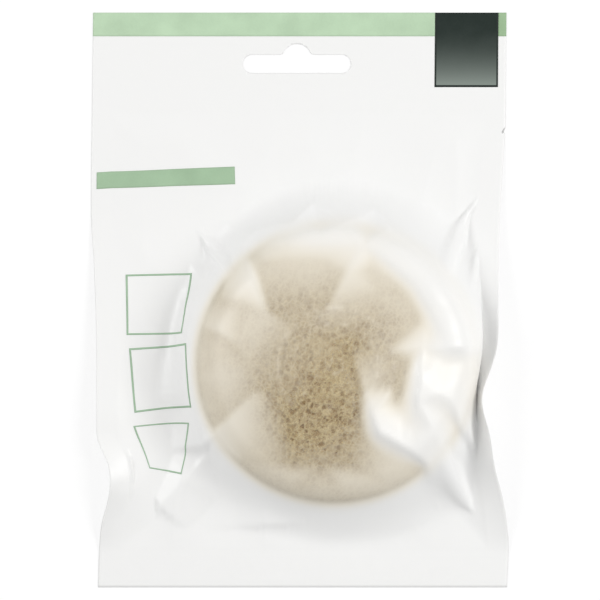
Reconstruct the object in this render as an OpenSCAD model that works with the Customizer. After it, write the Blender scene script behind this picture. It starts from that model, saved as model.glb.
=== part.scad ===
// Half-ball konjac sponge, heat-sealed in a flat frosted pouch with a hanging header.
// The pouch lies on its back: +X is right and +Y is up on its printed face, +Z is up from the table.

/* [Pouch] */
// Width of the pouch from side edge to side edge
pouch_w = 120; // [116:1:140]
// Height of the pouch from its bottom edge to its top edge
pouch_h = 165; // [158:1:200]
// Thickness of one web of film
film_t = 0.12; // [0.08:0.01:0.25]
// Height of the welded header that carries the hang slot
header_h = 29; // [25:0.5:34]
// Height of the crimped weld along the bottom edge
bottom_weld_h = 11; // [8:0.5:14]
// Width of the plain weld along each side edge
side_weld_w = 6; // [4:0.5:7]

/* [Hang slot] */
// Length of the slot from end to end
slot_w = 31; // [28:0.5:34]
// Height of the slot's straight part
slot_h = 5.2; // [4.6:0.1:7]
// Width of the raised crown over the slot's middle
slot_crown_w = 8.4; // [7.6:0.1:11]
// Rise of the crown above the slot's straight part
slot_crown_rise = 3.1; // [2.5:0.1:4]
// Radius where the crown meets the slot
slot_fillet_r = 1.2; // [0.6:0.1:1.8]
// Distance from the top edge down to the slot's centre line
slot_below_top = 14.7; // [14:0.1:18]
// Distance of the slot's middle left of the pouch's centre line
slot_left = 0.9; // [0:0.1:3]

/* [Tear notch] */
// Width of the notch along the right edge
notch_w = 1.7; // [1:0.1:3]
// Depth of the notch into the side weld
notch_depth = 1.3; // [0.8:0.1:2]
// Distance from the header's lower edge down to the notch
notch_below_header = 5; // [3:0.5:7]

/* [Crimp] */
// Distance from rib to rib in the bottom weld
rib_pitch = 1.1; // [0.9:0.1:3]
// Height of a rib above the weld
rib_h = 0.12; // [0.05:0.01:0.3]
// Plain margin around the ribs
crimp_margin = 1; // [0.5:0.1:2]

/* [Sponge] */
// Diameter of the sponge at its widest
sponge_d = 78; // [70:1:84]
// Thickness of the sponge from its flat back to its crown
sponge_h = 24; // [22:0.5:32]
// Radius round the edge of the flat back
rim_r = 5; // [3:0.5:6]
// Height of the upright side between that edge and the shoulder
side_h = 2; // [1:0.5:4]
// Radius of the shoulder between the side and the crown
shoulder_r = 11; // [8:0.5:13]
// Distance of the sponge's middle right of the pouch's centre line
sponge_right = 9.9; // [5:0.1:11]
// Distance from the bottom weld up to the sponge
sponge_above_weld = 14.3; // [10:0.1:18]
// Diameter of the hole in the flat back that takes a hanging cord
cord_hole_d = 2.4; // [1.5:0.1:4]
// Depth of that hole
cord_hole_depth = 9; // [6:0.5:14]

/* [Print] */
// Height of the green band along the top edge
band_h = 6.8; // [5:0.1:8]
// Width of the dark patch in the top right corner
patch_w = 18.4; // [14:0.1:20]
// Height of the dark patch
patch_h = 21.4; // [16:0.1:23]
// Distance from the right edge to the dark patch
patch_from_edge = 2.3; // [1:0.1:4]
// Length of the green strip under the header
strip_w = 39.4; // [30:0.2:50]
// Height of the green strip
strip_h = 4.8; // [3:0.1:7]
// Distance from the left edge to the green strip
strip_from_edge = 1.6; // [1:0.1:3]
// Side of each of the three outlined squares
square_side = 17; // [12:0.1:18]
// Gap between one outlined square and the next
square_gap = 4.5; // [3:0.1:7]
// Width of the squares' outline
square_line = 0.5; // [0.3:0.05:1]
// Distance from the left edge to the outlined squares
squares_from_edge = 9.6; // [8:0.1:14]
// Distance from the bottom weld up to the lowest square
squares_above_weld = 19; // [14:0.5:24]

/* [Hidden] */
$fn = 96;

// Clearance between the sponge and the film drawn over it
film_gap = 0.5;
// Angle from the vertical down to which the film clings to the sponge, where no near weld holds it further out
cling_turn = 64;
// The share of the film's height there that air holds up, evenly less towards the welds.
air_share = 0.09;
// Clearance between the sponge's flat back and the film that it lies on
seat_gap = 0.3;
// Least distance in plan from the sponge's side to the right weld
weld_gap = 1.1;
// Thickness of an ink layer as drawn
ink_t = 0.04;
// Distance that a cutter runs past the face it cuts
overrun = 1;
// Largest spacing of the lines on which the film's surface is drawn, with a finer one beside the right weld
front_step = 4.2;
back_step = 12;
fine_step = 2.4;
fine_w = 12;
// Sides of the sponge, and of the circles that round its edges
turn_fn = 72;
edge_fn = 44;

// The side edges at rest, which the sponge draws in. Each row is a share of the pouch's height, from the
// bottom edge up, and a share of its half width.
left_edge_shares = [[0, 0.967], [0.066, 0.962], [0.11, 0.95], [0.14, 0.923], [0.17, 0.9], [0.21, 0.9],
                    [0.235, 0.93], [0.255, 0.967], [0.44, 0.97], [0.57, 0.985], [0.64, 1], [0.7, 1], [1, 0.99]];
right_edge_shares = [[0, 0.99], [0.066, 1], [0.08, 1], [0.13, 0.98], [0.17, 0.955], [0.21, 0.92], [0.27, 0.895],
                     [0.32, 0.852], [0.34, 0.852], [0.37, 0.885], [0.4, 0.92], [0.43, 0.938],
                     [0.59, 0.947], [0.68, 0.96], [0.8, 0.984], [1, 0.988]];
// The lift of each side weld's inner edge off the table, as a share of the sponge's thickness.
left_lift_shares = [[0, 0], [0.07, 0], [0.18, 0.16], [0.3, 0.18], [0.45, 0.1], [0.65, 0], [1, 0]];
right_lift_shares = [[0, 0], [0.07, 0], [0.18, 0.14], [0.33, 0.32], [0.45, 0.18], [0.65, 0.04], [0.78, 0],
                     [1, 0]];
// The angle at which each side weld is turned up, as a share of a right angle.
left_turn_shares = [[0, 0], [0.07, 0], [0.19, 0.4], [0.26, 0.12], [0.45, 0.05], [0.65, 0], [1, 0]];
right_turn_shares = [[0, 0], [0.07, 0], [0.2, 0.4], [0.33, 0.87], [0.42, 0.4], [0.6, 0.08], [0.78, 0], [1, 0]];
// The folds that fan out over the sponge. Each row is a direction and a half width in degrees, a height as
// a share of the sponge's thickness, and the shares of the way to the weld where it starts and is highest.
fold_shares = [[130, 8, 0.1, 0.25, 0.5], [166, 8, 0.08, 0.35, 0.6], [204, 8, 0.07, 0.3, 0.6],
               [86, 8, 0.08, 0.25, 0.52], [106, 6, 0.06, 0.48, 0.62], [48, 10, 0.1, 0.4, 0.72],
               [4, 9, 0.1, 0.45, 0.85], [-47, 10, 0.12, 0.3, 0.7], [-80, 8, 0.06, 0.55, 0.8],
               [244, 8, 0.07, 0.5, 0.8]];
// Where the green strip's middle lies between the top square and the notch.
strip_share = 0.683;

// The flat film is measured by a, from its left edge, and b, from its bottom edge.
panel_top = pouch_h - header_h;
slot_b = pouch_h - slot_below_top;
notch_b = panel_top - notch_below_header;
sponge_r = sponge_d / 2;
sponge_a = pouch_w / 2 + sponge_right;
sponge_b = bottom_weld_h + sponge_above_weld + sponge_r;
weld_t = 2 * film_t;

// The sponge's section has a flat back, a rounded edge, an upright side, a shoulder and a crown.
foot_r = sponge_r - rim_r;
shoulder_x = sponge_r - shoulder_r;
shoulder_z = rim_r + side_h;
crown_drop = sponge_h - shoulder_z;
crown_r = (shoulder_x * shoulder_x + crown_drop * crown_drop - shoulder_r * shoulder_r)
          / (2 * (crown_drop - shoulder_r));
crown_z = sponge_h - crown_r;
// The angle from the vertical at which the crown runs into the shoulder.
shoulder_turn = atan2(shoulder_x, shoulder_z - crown_z);
sponge_z = film_t + seat_gap;
// The film under the sponge starts to rise here, below the rounded edge.
lift_r = sponge_r - rim_r / 4;

function mix(p, q, share) = p + (q - p) * share;
function along(shares, b) = lookup(b / pouch_h, shares);
function plan_y(b) = b - pouch_h / 2;

// How far the side edge of a weld lies from its inner edge, in plan and in height.
function weld_run(turn_shares, b) = side_weld_w * cos(90 * along(turn_shares, b));
function weld_rise(turn_shares, b) = side_weld_w * sin(90 * along(turn_shares, b));

// The welds' inner edges in plan. The right one never comes closer to the sponge than the film's clearance.
function left_inner(b) = weld_run(left_turn_shares, b) - pouch_w / 2 * along(left_edge_shares, b);
function sponge_side(b) =
    let (keep = sponge_r + weld_gap, dy = b - sponge_b)
    abs(dy) < keep ? sponge_right + sqrt(keep * keep - dy * dy) : 0;
function right_inner(b) =
    max(pouch_w / 2 * along(right_edge_shares, b) - weld_run(right_turn_shares, b), sponge_side(b));
function left_edge(b) = left_inner(b) - weld_run(left_turn_shares, b);
function right_edge(b) = right_inner(b) + weld_run(right_turn_shares, b);
function notch(b) = notch_depth * max(0, 1 - abs(b - notch_b) / (notch_w / 2));

// Where a point of the flat film lies in plan at rest.
function plan_x(a, b) =
    a < side_weld_w
    ? mix(left_edge(b), left_inner(b), a / side_weld_w)
    : a <= pouch_w - side_weld_w
      ? mix(left_inner(b), right_inner(b), (a - side_weld_w) / (pouch_w - 2 * side_weld_w))
      : mix(right_inner(b), right_edge(b) - notch(b), (a - pouch_w + side_weld_w) / side_weld_w);

// Height of the side welds' underside.
function weld_z(a, b) =
    a < pouch_w / 2
    ? sponge_h * along(left_lift_shares, b)
      + weld_rise(left_turn_shares, b) * max(0, 1 - a / side_weld_w)
    : sponge_h * along(right_lift_shares, b)
      + weld_rise(right_turn_shares, b) * max(0, 1 - (pouch_w - a) / side_weld_w);

// How far a point of the panel lies from the sponge's middle towards the welds, from 0 to 1.
function reach(a, b) =
    max(a > sponge_a ? (a - sponge_a) / (pouch_w - side_weld_w - sponge_a)
                     : (sponge_a - a) / (sponge_a - side_weld_w),
        b > sponge_b ? (b - sponge_b) / (panel_top - sponge_b)
                     : (sponge_b - b) / (sponge_b - bottom_weld_h));
// Height of the weld that the line from the sponge's middle through [a, b] runs to.
function rim_z(a, b, s) = weld_z(sponge_a + (a - sponge_a) / s, sponge_b + (b - sponge_b) / s);
function from_sponge(a, b) = [plan_x(a, b) - sponge_right, b - sponge_b];

// Where a taut line from [x, z] touches a round of radius r about [cx, cz], as an angle from the vertical.
function touch_turn(x, z, cx, cz, r) = atan2(x - cx, z - cz) - acos(min(1, r / norm([x - cx, z - cz])));

// Height of film over the sponge, at the distance d from its middle, on a line that runs to the weld at the
// distance far and the height z. It clings to the shoulder, leaves it along its tangent and sags to the weld,
// or runs straight there where the weld is so near that it pulls the film taut.
function over_sponge(d, far, z) =
    let (rc = crown_r + film_gap,
         rs = shoulder_r + film_gap,
         cz = sponge_z + crown_z,
         sz = sponge_z + shoulder_z,
         t = max(cling_turn, touch_turn(far, z, shoulder_x, sz, rs)),
         touch_d = shoulder_x + rs * sin(t),
         touch_z = sz + rs * cos(t),
         run = far - touch_d,
         drop = touch_z - z,
         bend = max(1, (tan(t) * run / drop - air_share) / (1 - air_share)),
         left = 1 - (d - touch_d) / run)
    d > touch_d ? z + drop * mix(pow(max(0, left), bend), left, air_share)
    : d <= rc * sin(shoulder_turn) ? cz + sqrt(rc * rc - d * d)
    : sz + sqrt(max(0, rs * rs - (d - shoulder_x) * (d - shoulder_x)));

// Height of the film that lies flat under the sponge and curves up to the welds, in the same terms.
function under_sponge(d, far, z) = z * pow(max(0, d - lift_r) / (far - lift_r), 2);

// Height that the folds add on the line at the angle at, at the share s of the way to the weld.
function turn_between(p, q) = abs((p - q + 540) % 360 - 180);
function fold_z(fold, at, s) =
    sponge_h * fold[2] * max(0, 1 - turn_between(at, fold[0]) / fold[1])
    * lookup(s, [[fold[3], 0], [fold[4], 1], [1, 0]]);
function folds_z(at, s) =
    let (each_z = [for (fold = fold_shares) fold_z(fold, at, s)])
    max(each_z);

// Undersides of the two panels.
function front_z(a, b) =
    let (p = from_sponge(a, b), d = norm(p), s = reach(a, b))
    s == 0 ? sponge_z + sponge_h + film_gap
           : over_sponge(d, d / s, rim_z(a, b, s) + film_t) + folds_z(atan2(p[1], p[0]), s);
function back_z(a, b) =
    let (p = from_sponge(a, b), d = norm(p), s = reach(a, b))
    s == 0 ? 0 : under_sponge(d, d / s, rim_z(a, b, s));

// The film's thickness measured upright, which grows with the slope so that the film itself stays even.
function slope_z(a, b) =
    let (run = plan_x(a + film_t, b) - plan_x(a - film_t, b),
         rise_a = front_z(a + film_t, b) - front_z(a - film_t, b),
         rise_b = front_z(a, b + film_t) - front_z(a, b - film_t))
    norm([1, rise_a / run, rise_b / (2 * film_t)]);
function front_top(a, b) =
    a <= side_weld_w || a >= pouch_w - side_weld_w || b <= bottom_weld_h || b >= panel_top
    ? weld_z(a, b) + weld_t
    : front_z(a, b) + film_t * min(slope_z(a, b), 3);

// The stops of a list with extra ones between them, no further apart than step.
function ruled(stops, step) =
    [for (i = [0 : len(stops) - 2])
         let (n = ceil((stops[i + 1] - stops[i]) / step))
         for (k = [0 : n - 1]) mix(stops[i], stops[i + 1], k / n),
     stops[len(stops) - 1]];
function between(stops, low, high) =
    [for (v = stops) if (v > low - film_t && v < high + film_t) v];

// The lines of the drawing. The print's edges are among them, so that ink and film share their lines, and
// every sheet uses the same rows, so that they meet edge to edge.
square_tops = [for (k = [0 : 2])
                   bottom_weld_h + squares_above_weld + square_side + k * (square_side + square_gap)];
squares_end = squares_from_edge + square_side;
strip_top = mix(square_tops[2], notch_b, strip_share) + strip_h / 2;
strip_end = strip_from_edge + strip_w;
rows = ruled([bottom_weld_h,
              for (top = square_tops)
                  each [top - square_side, top - square_side + square_line, top - square_line, top],
              strip_top - strip_h, strip_top, notch_b - notch_w / 2, notch_b, notch_b + notch_w / 2,
              panel_top], front_step);
fine_columns = ruled([pouch_w - side_weld_w - fine_w, pouch_w - side_weld_w], fine_step);
front_columns = concat(ruled([side_weld_w, squares_from_edge, squares_from_edge + square_line,
                              squares_end - square_line, squares_end, strip_end,
                              fine_columns[0] - front_step], front_step), fine_columns);
back_columns = concat(ruled([side_weld_w, squares_from_edge, side_weld_w + fine_w], front_step),
                      ruled([side_weld_w + fine_w + back_step, fine_columns[0] - back_step], back_step),
                      fine_columns);
left_columns = [0, strip_from_edge, side_weld_w];
right_columns = [pouch_w - side_weld_w, pouch_w];

// A closed sheet over the crossings of the lines as and bs, between the heights low(a, b) and high(a, b).
// Each cell folds along the diagonal that lies higher by the heights fold(a, b), so that the film bridges
// what it lies on and ink folds as its film does. hollow leaves only the outermost ring of cells.
module sheet(as, bs, low, high, fold, hollow = false) {
    m = len(as);
    n = len(bs);
    filled = function (i, j)
        i >= 0 && j >= 0 && i < m - 1 && j < n - 1
        && !(hollow && i > 0 && j > 0 && i < m - 2 && j < n - 2);
    at = function (i, j, level) (level * m + i) * n + j;
    wall = function (p, q) [[p[0], p[1], q[0]], [p[1], q[1], q[0]]];
    points = [for (z = [low, high]) for (a = as) for (b = bs) [plan_x(a, b), plan_y(b), z(a, b)]];
    heights = [for (a = as) [for (b = bs) fold(a, b)]];
    faces = [for (i = [0 : m - 2]) for (j = [0 : n - 2]) if (filled(i, j))
        let (p = [for (level = [0, 1]) [at(i, j, level), at(i + 1, j, level),
                                        at(i + 1, j + 1, level), at(i, j + 1, level)]],
             rising = heights[i][j] + heights[i + 1][j + 1] >= heights[i + 1][j] + heights[i][j + 1],
             k = rising ? [0, 1, 2, 3] : [1, 2, 3, 0])
        each concat(
            [[p[1][k[0]], p[1][k[3]], p[1][k[2]]], [p[1][k[0]], p[1][k[2]], p[1][k[1]]],
             [p[0][k[0]], p[0][k[2]], p[0][k[3]]], [p[0][k[0]], p[0][k[1]], p[0][k[2]]]],
            filled(i, j - 1) ? [] : wall([p[0][0], p[1][0]], [p[0][1], p[1][1]]),
            filled(i + 1, j) ? [] : wall([p[0][1], p[1][1]], [p[0][2], p[1][2]]),
            filled(i, j + 1) ? [] : wall([p[0][2], p[1][2]], [p[0][3], p[1][3]]),
            filled(i - 1, j) ? [] : wall([p[0][3], p[1][3]], [p[0][0], p[1][0]]))];
    polyhedron(points, faces, convexity = 6);
}

// A layer of ink on the front of the pouch, over the lines as and bs.
module ink(as, bs, hollow = false) {
    sheet(as, bs, function (a, b) front_top(a, b), function (a, b) front_top(a, b) + ink_t,
          function (a, b) front_top(a, b), hollow);
}

// A flat stretch of the welded film from the height b0 to b1, drawn in by inset from its four edges.
module flat_film(b0, b1, inset = 0) {
    polygon([[left_edge(b0) + inset, plan_y(b0) + inset], [right_edge(b0) - inset, plan_y(b0) + inset],
             [right_edge(b1) - inset, plan_y(b1) - inset], [left_edge(b1) + inset, plan_y(b1) - inset]]);
}

// The hang slot: a straight slot with round ends, and a crown over its middle with a fillet at each side.
module slot_shape() {
    end_r = slot_h / 2;
    round_r = slot_crown_w / 2;
    round_y = end_r + slot_crown_rise - round_r;
    fillet_y = end_r + slot_fillet_r;
    fillet_x = sqrt(pow(round_r + slot_fillet_r, 2) - pow(fillet_y - round_y, 2));
    square([slot_w - slot_h, slot_h], center = true);
    for (side = [-1, 1])
        translate([side * (slot_w - slot_h) / 2, 0]) circle(r = end_r);
    translate([0, round_y]) circle(r = round_r);
    for (side = [-1, 1])
        difference() {
            polygon([[0, round_y], [side * fillet_x, 0], [side * fillet_x, fillet_y]]);
            translate([side * fillet_x, fillet_y]) circle(r = slot_fillet_r);
        }
}

module patch_shape() {
    translate([right_edge(pouch_h) - patch_from_edge - patch_w, plan_y(pouch_h) - patch_h])
        square([patch_w, patch_h]);
}

module sponge_section() {
    square([foot_r, shoulder_z]);
    translate([0, rim_r]) square([sponge_r, side_h]);
    translate([foot_r, rim_r]) circle(r = rim_r, $fn = edge_fn);
    intersection() {
        translate([shoulder_x, shoulder_z]) circle(r = shoulder_r, $fn = edge_fn);
        translate([0, shoulder_z]) square([sponge_r, sponge_h]);
    }
    intersection() {
        translate([0, crown_z]) circle(r = crown_r);
        polygon([[0, crown_z], [(crown_r + overrun) * tan(shoulder_turn), sponge_h + overrun],
                 [0, sponge_h + overrun]]);
        square([sponge_r, sponge_h + overrun]);
    }
}

module konjac_sponge() {
    color("wheat") translate([sponge_right, plan_y(sponge_b), sponge_z]) difference() {
        rotate_extrude($fn = turn_fn) sponge_section();
        translate([0, 0, -overrun]) cylinder(d = cord_hole_d, h = cord_hole_depth + overrun);
    }
}

module front_film() {
    color("ghostwhite")
        sheet(front_columns, rows, function (a, b) front_z(a, b), function (a, b) front_top(a, b),
              function (a, b) front_top(a, b));
}

module back_film() {
    color("whitesmoke")
        sheet(back_columns, rows, function (a, b) back_z(a, b), function (a, b) back_z(a, b) + film_t,
              function (a, b) -back_z(a, b));
}

module header_weld() {
    color("white") linear_extrude(weld_t) difference() {
        flat_film(panel_top, pouch_h);
        translate([-slot_left, plan_y(slot_b)]) slot_shape();
    }
}

// The crimp's ribs run up the pouch, so one zigzag section makes them all.
module bottom_weld() {
    rib_count = floor((pouch_w - 2 * crimp_margin) / rib_pitch) - 2;
    zigzag = [for (k = [0 : rib_count]) each [[k * rib_pitch, 0],
                                              if (k < rib_count) [(k + 0.5) * rib_pitch, rib_h]]];
    color("gainsboro") {
        linear_extrude(weld_t) flat_film(0, bottom_weld_h);
        intersection() {
            linear_extrude(weld_t + rib_h) flat_film(0, bottom_weld_h, crimp_margin);
            translate([-rib_count * rib_pitch / 2, plan_y(bottom_weld_h), weld_t]) rotate([90, 0, 0])
                linear_extrude(bottom_weld_h)
                    polygon(concat([[0, -film_t]], zigzag, [[rib_count * rib_pitch, -film_t]]));
        }
    }
}

module side_weld(columns) {
    color("white")
        sheet(columns, rows, function (a, b) weld_z(a, b), function (a, b) weld_z(a, b) + weld_t,
              function (a, b) weld_z(a, b));
}

module left_weld() {
    side_weld(left_columns);
}

module right_weld() {
    side_weld(right_columns);
}

module header_band() {
    color("darkseagreen") translate([0, 0, weld_t]) linear_extrude(ink_t) difference() {
        flat_film(pouch_h - band_h, pouch_h);
        patch_shape();
    }
}

module corner_patch() {
    color("darkslategray") translate([0, 0, weld_t]) linear_extrude(ink_t) patch_shape();
}

module green_strip() {
    columns = concat([strip_from_edge], between(front_columns, side_weld_w, strip_end));
    color("darkseagreen") ink(columns, between(rows, strip_top - strip_h, strip_top));
}

module outlined_squares() {
    columns = [squares_from_edge, squares_from_edge + square_line,
               each between(front_columns, squares_from_edge + 2 * square_line, squares_end - 2 * square_line),
               squares_end - square_line, squares_end];
    color("darkseagreen")
        for (top = square_tops)
            ink(columns, between(rows, top - square_side, top), hollow = true);
}

konjac_sponge();
front_film();
back_film();
header_weld();
bottom_weld();
left_weld();
right_weld();
header_band();
corner_patch();
green_strip();
outlined_squares();
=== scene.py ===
"""Half-ball konjac sponge, sealed in its frosted pouch: the looks, made over the packed frame."""

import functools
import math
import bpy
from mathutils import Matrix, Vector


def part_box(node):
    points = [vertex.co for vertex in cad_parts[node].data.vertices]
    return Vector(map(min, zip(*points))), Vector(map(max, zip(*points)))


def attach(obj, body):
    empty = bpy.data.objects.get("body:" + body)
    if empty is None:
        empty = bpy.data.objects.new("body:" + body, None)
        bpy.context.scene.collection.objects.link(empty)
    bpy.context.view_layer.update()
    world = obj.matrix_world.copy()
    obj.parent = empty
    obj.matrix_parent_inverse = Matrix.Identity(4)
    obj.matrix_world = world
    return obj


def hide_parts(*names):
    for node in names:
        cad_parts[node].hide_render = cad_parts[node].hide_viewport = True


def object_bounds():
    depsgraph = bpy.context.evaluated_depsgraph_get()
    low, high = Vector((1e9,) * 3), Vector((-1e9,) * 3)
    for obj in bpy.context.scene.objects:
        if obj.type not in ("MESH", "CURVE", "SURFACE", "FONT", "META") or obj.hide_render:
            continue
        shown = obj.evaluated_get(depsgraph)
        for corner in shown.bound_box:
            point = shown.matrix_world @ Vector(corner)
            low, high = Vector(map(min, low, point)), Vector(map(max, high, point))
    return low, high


bl_info = {
    "name": "Konjac Sponge in its Pouch",
    "version": (1, 0, 0),
    "blender": (4, 5, 0),
    "location": "3D View > Sidebar > Pouch",
    "description": "Builds a pored sponge, the film drawn over it, its print and a studio stage",
    "category": "Object",
}

import bmesh
import bpy
import numpy as np
from bpy.props import FloatProperty, FloatVectorProperty, IntProperty, PointerProperty
from mathutils import Vector, geometry, noise

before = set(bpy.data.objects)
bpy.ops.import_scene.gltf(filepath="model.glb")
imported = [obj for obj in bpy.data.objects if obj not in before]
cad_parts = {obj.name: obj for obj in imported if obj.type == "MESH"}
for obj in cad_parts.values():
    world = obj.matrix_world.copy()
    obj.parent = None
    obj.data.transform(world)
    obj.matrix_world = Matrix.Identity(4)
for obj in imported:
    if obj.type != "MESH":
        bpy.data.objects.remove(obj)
CAD_LOW, CAD_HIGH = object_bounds()

MM = 0.001

# Places that come from the frame. The flat film is measured by a, from its left edge, and b, from its
# bottom edge.
POUCH_W = CAD_HIGH.x - CAD_LOW.x
POUCH_H = CAD_HIGH.y - CAD_LOW.y
BOTTOM_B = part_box("bottom_weld")[1].y - CAD_LOW.y
HEADER_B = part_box("header_weld")[0].y - CAD_LOW.y
SPONGE_LOW, SPONGE_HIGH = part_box("konjac_sponge")
SPONGE_X, SPONGE_Y, _ = (SPONGE_LOW + SPONGE_HIGH) / 2
SPONGE_R = (SPONGE_HIGH.x - SPONGE_LOW.x) / 2
SPONGE_Z = SPONGE_LOW.z
SPONGE_H = SPONGE_HIGH.z - SPONGE_LOW.z
SPONGE_A, SPONGE_B = SPONGE_X - CAD_LOW.x, SPONGE_Y - CAD_LOW.y

# The side edges at rest, which the sponge draws in: shares of the pouch's height, and of its half width.
LEFT_EDGE = ((0, 0.967), (0.066, 0.962), (0.11, 0.95), (0.14, 0.923), (0.17, 0.9), (0.21, 0.9),
             (0.235, 0.93), (0.255, 0.967), (0.44, 0.97), (0.57, 0.985), (0.64, 1), (0.7, 1), (1, 0.99))
RIGHT_EDGE = ((0, 0.99), (0.066, 1), (0.08, 1), (0.13, 0.98), (0.17, 0.955), (0.21, 0.92), (0.27, 0.895),
              (0.32, 0.852), (0.34, 0.852), (0.37, 0.885), (0.4, 0.92), (0.43, 0.938), (0.59, 0.947),
              (0.68, 0.96), (0.8, 0.984), (1, 0.988))
# The lift of each side weld's inner edge, as a share of the sponge's thickness.
LEFT_LIFT = ((0, 0), (0.07, 0), (0.18, 0.16), (0.3, 0.18), (0.45, 0.1), (0.65, 0), (1, 0))
RIGHT_LIFT = ((0, 0), (0.07, 0), (0.18, 0.14), (0.33, 0.32), (0.45, 0.18), (0.65, 0.04), (0.78, 0), (1, 0))
# The angle at which each side weld is turned up, as a share of a right angle.
LEFT_TURN = ((0, 0), (0.07, 0), (0.19, 0.4), (0.26, 0.12), (0.45, 0.05), (0.65, 0), (1, 0))
RIGHT_TURN = ((0, 0), (0.07, 0), (0.2, 0.4), (0.33, 0.87), (0.42, 0.4), (0.6, 0.08), (0.78, 0), (1, 0))
# The corners in these tables are rounded off over this share of the height, up and down.
TABLE_ROUNDING = 0.018
# The right weld keeps this far from the sponge's side.
WELD_CLEARANCE = 1.1 * MM

# How far the film stands off the sponge, in millimetres, at points in millimetres from its middle: along the
# creases, which run from point to point, and at single points between them.
CREASES = (
    # The lobe beside the right weld, with its foot on the left.
    ((23.4, 2.6, 1.9), (23.1, -3, 3.0), (22.7, -10, 3.1), (21.8, -16.4, 1.8)),
    ((22.5, 2.4, 0.4), (22.2, -3, 0.2), (21.8, -10, 0.15), (21.0, -16, 0.2)),
    # The three-cornered fold, and the ridge that runs on from it to the lower right.
    ((8.2, -6.4, 0.4), (10.0, -13, 1.8), (12.0, -18.7, 3.2), (21.6, -24.2, 3.6), (30.4, -31.4, 3.2),
     (34, -36, 1.0)),
    ((7.5, -6.4, 0.05), (9.2, -13.2, 0.1), (11.2, -19.6, 0.3), (21.0, -25.4, 0.6), (29.6, -32.8, 0.6)),
    # The tuck below the satin band.
    ((25, 3.4, 1.0), (31, 2.4, 1.2), (40, 1.2, 3.5)),
    ((24.6, 5.6, 1.5), (31, 5.2, 3.4), (40, 4.6, 5.5)),
    # The crease beside the right weld.
    ((32.2, -10.4, 3.2), (36.2, -18.4, 3.8)),
    ((31.0, -11.2, 1.4), (34.8, -19.2, 1.4)),
    # The satin band on the upper right: its foot, its fold and its outer edge.
    ((9.5, 31.0, 0.8), (20.8, 21.4, 0.35), (25.4, 14.2, 0.35), (28.6, 7.2, 0.8)),
    ((11.0, 32.6, 2.4), (22.2, 22.8, 2.4), (27.0, 15.2, 2.5), (30.4, 8.0, 3.0)),
    ((15.5, 38.6, 5.0), (28.0, 28.4, 5.4), (35.6, 18.4, 5.4), (40.6, 9.6, 6.0)),
    # The gathers on the left.
    ((-26.6, 33.4, 1.9), (-22.6, 24, 1.3), (-19.0, 14.4, 0.4)),
    ((-24.9, 32.6, 1.1), (-21.5, 24, 0.35), (-18.1, 14.6, 0.15)),
    ((-38.4, 12.6, 0.8), (-33.4, 10.2, 0.7), (-27.2, 5.8, 0.35)),
    ((-37.6, 9.8, 0.5), (-32.6, 8.2, 0.35), (-27.4, 4.6, 0.25)),
    ((-37.6, -22.6, 2.6), (-34.4, -19.9, 1.7), (-30.6, -16.6, 0.85), (-22.6, -8.4, 0.4)),
    ((-36.0, -18.4, 0.5), (-30.2, -14.8, 0.35), (-22.8, -7.0, 0.2)),
    # The ridge from the sponge down to the lower left corner.
    ((-36.0, -25.5, 1.0), (-42.5, -33.0, 2.4), (-50.0, -41.0, 1.8)),
    # The short crease over the top of the sponge.
    ((7.6, 33.0, 1.8), (3.6, 25.4, 0.8), (-1.4, 16.4, 0.3)),
    ((5.8, 33.0, 1.5), (1.9, 25.8, 0.35), (-2.4, 16.8, 0.15)),
)
STAND_OFF = (
    # On the crown, where the film lies on the sponge or nearly so.
    (0, 0, 0), (-8, -8, 0), (-14, -14, 0), (-4, -22, 0), (-13, -20, 0), (4, -14, 0), (4, 6, 0),
    (-4, -28, 0.15), (-12, -27, 0.08), (4, -27, 0.12), (-17, -8, 0.06), (-10, 10, 0.12), (-12, 18, 0.18),
    (8, 12, 0.15), (14, 4, 0.2), (16, -6, 0.2), (16, -12, 0.3), (12, 20, 0.35), (9, 27, 0.5),
    (15, 23.5, 0.45), (-7, 25, 0.4), (-6, 19, 0.2),
    # On the left and the lower shoulder.
    (-24, 0, 0.25), (-29, -4, 0.45), (-20, -4, 0.14), (-34, 2, 0.42), (-32, 18, 0.45), (-26, 17, 0.35),
    (-21, -18, 0.35), (-25, -27, 0.5), (-12, -31, 0.45), (-12, -36, 0.5), (2, -36, 0.5), (2, -31, 0.45),
    (15, -34, 0.6), (-36, -8, 0.5),
    # Over the upper shoulder, under the folds there.
    (-20, 32.5, 1.3), (-20, 28.5, 0.5), (-14, 33, 1.2), (-4, 33, 1.3), (-14, 29.5, 0.5), (-4, 29.5, 0.5),
    (-14, 36.5, 3.2), (-4, 36.5, 3.2),
    # On the lobe beside the right weld, and between it and the three-cornered fold.
    (28, -8, 3.0), (27, -18, 3.4), (32, -26, 3.2), (38, -10, 3.0), (36, -3, 2.6), (17, -15, 1.6),
    (18, -20, 2.8),
    # Past the sponge's edge, above and on the right.
    (42, 18, 3.0), (24, 38, 3.0), (-12, 40, 4.6), (3, 40, 4.8), (12, 44, 2.5), (-22, 38, 2.4),
    (-6, 46, 2.0),
    # Round the sponge, where the film comes down.
    (-30, 35, 0.5), (-42, 16, 0.4), (-44, 0, 0.4), (-43, -10, 0.4), (-38, -26, 0.4), (-28, -37, 0.4),
    (-16, -43, 0.3), (0, -45, 0.3), (14, -44, 0.3), (34, -40, 0.3), (44, -20, 0.4), (45, 4, 0.4),
    (36, 34, 0.4),
    # Beside the gathers on the left, and beside the ridge to the lower left corner.
    (-38, 5, 0.6), (-38.5, -3, 0.6), (-37, -11, 0.6), (-48, -25, 0.1), (-54, -34, 0.1), (-33, -39, 0.2),
    (-42, -48, 0.1),
)
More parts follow.
